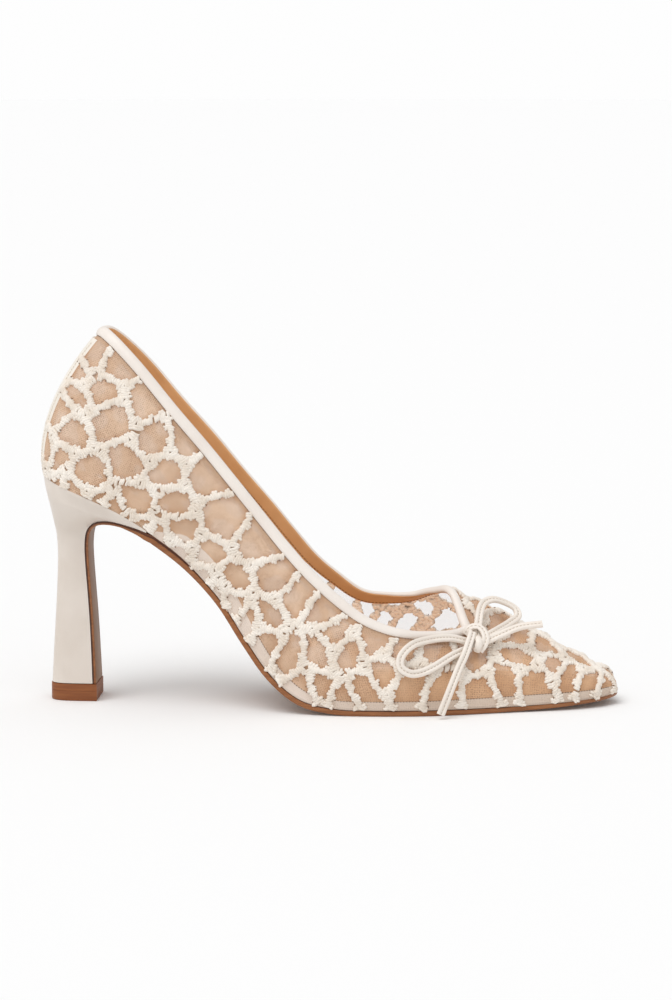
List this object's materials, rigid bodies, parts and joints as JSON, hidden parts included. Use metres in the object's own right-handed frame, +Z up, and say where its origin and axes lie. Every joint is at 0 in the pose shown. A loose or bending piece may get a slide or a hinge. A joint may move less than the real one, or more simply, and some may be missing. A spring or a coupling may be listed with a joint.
{
  "type": "court shoe",
  "caption": "Pointed high-heeled court shoe for the right foot, with an embroidered mesh upper, a rolled topline, a flat strap bow and a flared covered heel.",
  "frame": {"origin": "on the floor, under the middle of the shoe's bounding box", "axes": "+X towards the toe, +Y towards the inner side of the foot, +Z up from the floor"},
  "size_m": [0.2366, 0.0764, 0.1537],
  "materials": {
    "embroidered_mesh": "sheer nude mesh with cream satin-stitched network",
    "cream_leather": "soft satin",
    "sole_leather": "polished edge, satin",
    "tan_lining": "matte",
    "heel_cover": "satin",
    "brown_top_piece": "matte"
  },
  "bodies": {
    "root": {"upper": "embroidered_mesh", "collar_binding": "cream_leather", "back_strip": "cream_leather", "outsole": "sole_leather", "insole": "tan_lining", "heel": "heel_cover", "top_piece": "brown_top_piece", "bow": "cream_leather"}
  },
  "joints": []
}
